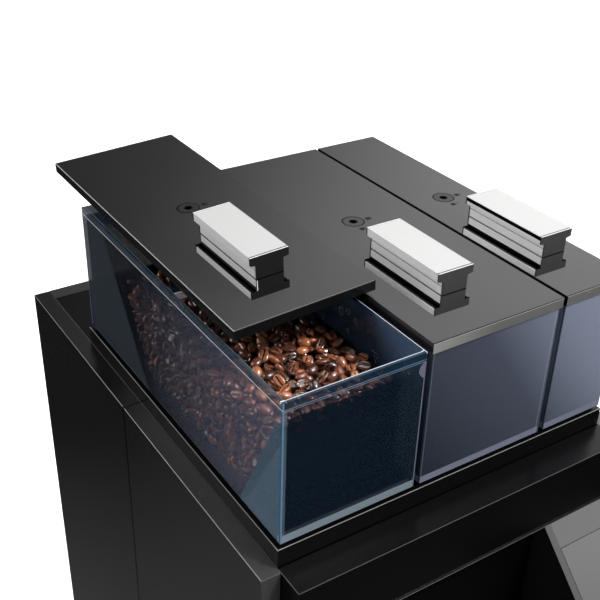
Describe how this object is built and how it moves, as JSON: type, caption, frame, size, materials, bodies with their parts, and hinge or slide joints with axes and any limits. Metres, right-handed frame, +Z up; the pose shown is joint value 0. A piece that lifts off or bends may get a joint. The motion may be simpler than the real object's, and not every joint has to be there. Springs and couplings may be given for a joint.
{
  "type": "bean to cup coffee machine",
  "caption": "Upright black bean to cup coffee machine with lidded bean and powder containers on top, a hinged front door, sliding spout, drip tray and grounds drawer.",
  "frame": {"origin": "centre of the plan outline, at the level the rubber feet stand on", "axes": "+Z up, -Y towards the user in front of the machine, +X to the right of a person who faces the machine"},
  "size_m": [0.38, 0.6, 0.7648],
  "materials": {
    "black_gloss": "glossy black",
    "black_satin": "satin black",
    "aluminium": "satin anodised",
    "steel": "brushed",
    "chrome": "polished",
    "smoke": null,
    "milky": "translucent blue-grey",
    "beans": null,
    "rubber": "matt black",
    "glass": "dark display glass",
    "brass": "plain",
    "board": "green circuit board",
    "white_plastic": "plain white"
  },
  "bodies": {
    "machine": {"back_panel": "black_satin", "base_pan": "black_satin", "bay_liner": "black_satin", "bean_container_left": "smoke", "boiler": "steel", "brew_frame": "steel", "chassis_frame": "steel", "coffee_beans": "beans", "console_housing": "black_gloss", "container_plinth": "black_gloss", "control_board": "board", "door_hinge_pin": "steel", "fascia_trim": "chrome", "front_fascia": "black_gloss", "grinder_left": "black_satin", "grinder_middle": "black_satin", "mixing_bowl": "white_plastic", "pump": "brass", "rear_deck_cover": "black_gloss", "rubber_foot_front_left": "rubber", "rubber_foot_front_right": "rubber", "rubber_foot_rear_left": "rubber", "rubber_foot_rear_right": "rubber", "service_inlets": "black_satin", "side_panel_left_front": "black_gloss", "side_panel_left_rear": "black_gloss", "side_panel_right_front": "black_gloss", "side_panel_right_rear": "black_gloss", "touch_display": "glass"},
    "door": {"front_door": "black_gloss", "hot_water_nozzle": "chrome"},
    "spout": {"spout_carriage": "black_gloss", "spout_nozzles": "steel"},
    "tray": {"drip_tray": "black_satin"},
    "grid": {"drip_grid": "steel"},
    "drawer": {"grounds_drawer": "black_gloss"},
    "middle_container": {"bean_container_middle": "milky"},
    "middle_shutter": {"shutter_middle": "steel"},
    "middle_lid": {"lid_middle": "black_gloss", "handle_middle": "aluminium", "handle_inserts_middle": "black_satin"},
    "middle_lock": {"lock_middle": "black_satin"},
    "left_lid": {"lid_left": "black_gloss", "handle_left": "aluminium", "handle_inserts_left": "black_satin"},
    "left_lock": {"lock_left": "black_satin"},
    "left_shutter": {"shutter_left": "steel"},
    "powder_box": {"powder_container": "milky"},
    "auger": {"powder_auger": "steel"},
    "right_lid": {"lid_right": "black_gloss", "handle_right": "aluminium", "handle_inserts_right": "black_satin"},
    "right_lock": {"lock_right": "black_satin"},
    "left_burr": {"grinder_burr_left": "steel"},
    "middle_burr": {"grinder_burr_middle": "steel"},
    "impeller": {"mixer_impeller": "white_plastic"},
    "piston": {"brew_piston": "steel"},
    "fan": {"fan_rotor": "black_satin"},
    "rocker": {"power_switch": "black_satin"},
    "button": {"power_button": "black_satin"}
  },
  "joints": [
    {"name": "door_hinge", "type": "hinge", "parent": "machine", "child": "door", "pos_m": [-0.1677, -0.2, 0.4], "axis": [0, 0, -1], "range_deg": [0, 105]},
    {"name": "spout_height", "type": "slide", "parent": "door", "child": "spout", "axis": [0, 0, 1], "range_m": [-0.1, 0]},
    {"name": "tray_slide", "type": "slide", "parent": "machine", "child": "tray", "axis": [0, -1, 0], "range_m": [0, 0.18]},
    {"name": "grid_lift", "type": "slide", "parent": "tray", "child": "grid", "axis": [0, 0, 1], "range_m": [0, 0.05]},
    {"name": "drawer_slide", "type": "slide", "parent": "machine", "child": "drawer", "axis": [0, -1, 0], "range_m": [0, 0.12]},
    {"name": "middle_container_lift", "type": "slide", "parent": "machine", "child": "middle_container", "axis": [0, 0, 1], "range_m": [0, 0.15]},
    {"name": "middle_shutter_slide", "type": "slide", "parent": "middle_container", "child": "middle_shutter", "axis": [0, -1, 0], "range_m": [0, 0.056]},
    {"name": "middle_lid_lift", "type": "slide", "parent": "middle_container", "child": "middle_lid", "axis": [0, 0, 1], "range_m": [0, 0.1]},
    {"name": "middle_lock_turn", "type": "hinge", "parent": "middle_lid", "child": "middle_lock", "pos_m": [0.028, 0.014, 0.7098], "axis": [0, 0, -1], "range_deg": [0, 90]},
    {"name": "left_lid_lift", "type": "slide", "parent": "middle_lid", "child": "left_lid", "axis": [0, 0, 1], "range_m": [0, 0.1]},
    {"name": "left_lock_turn", "type": "hinge", "parent": "left_lid", "child": "left_lock", "pos_m": [-0.09859, 0.095, 0.71894], "axis": [0.0538, 0, -0.9985], "range_deg": [0, 90]},
    {"name": "left_shutter_slide", "type": "slide", "parent": "machine", "child": "left_shutter", "axis": [0, -1, 0], "range_m": [0, 0.056]},
    {"name": "powder_box_lift", "type": "slide", "parent": "machine", "child": "powder_box", "axis": [0, 0, 1], "range_m": [0, 0.15]},
    {"name": "auger_turn", "type": "hinge", "parent": "powder_box", "child": "auger", "pos_m": [0.135, 0, 0.602], "axis": [0, 1, 0], "continuous": true},
    {"name": "right_lid_lift", "type": "slide", "parent": "powder_box", "child": "right_lid", "axis": [0, 0, 1], "range_m": [0, 0.1]},
    {"name": "right_lock_turn", "type": "hinge", "parent": "right_lid", "child": "right_lock", "pos_m": [0.135, 0.014, 0.7098], "axis": [0, 0, -1], "range_deg": [0, 90]},
    {"name": "left_burr_turn", "type": "hinge", "parent": "machine", "child": "left_burr", "pos_m": [-0.107, -0.038, 0.45], "axis": [0, 0, 1], "continuous": true},
    {"name": "middle_burr_turn", "type": "hinge", "parent": "machine", "child": "middle_burr", "pos_m": [0.028, -0.038, 0.45], "axis": [0, 0, 1], "continuous": true},
    {"name": "impeller_turn", "type": "hinge", "parent": "machine", "child": "impeller", "pos_m": [0.135, -0.038, 0.48], "axis": [0, 0, 1], "continuous": true},
    {"name": "piston_press", "type": "slide", "parent": "machine", "child": "piston", "axis": [0, 0, -1], "range_m": [0, 0.07]},
    {"name": "fan_turn", "type": "hinge", "parent": "machine", "child": "fan", "pos_m": [0.08, 0.28, 0.4], "axis": [0, 1, 0], "continuous": true},
    {"name": "rocker_turn", "type": "hinge", "parent": "machine", "child": "rocker", "pos_m": [0.04, 0.293, 0.08], "axis": [1, 0, 0], "range_deg": [0, 20]},
    {"name": "button_press", "type": "slide", "parent": "machine", "child": "button", "axis": [0, 0.7071, -0.7071], "range_m": [0, 0.002], "stiffness_N_per_m": 200}
  ]
}
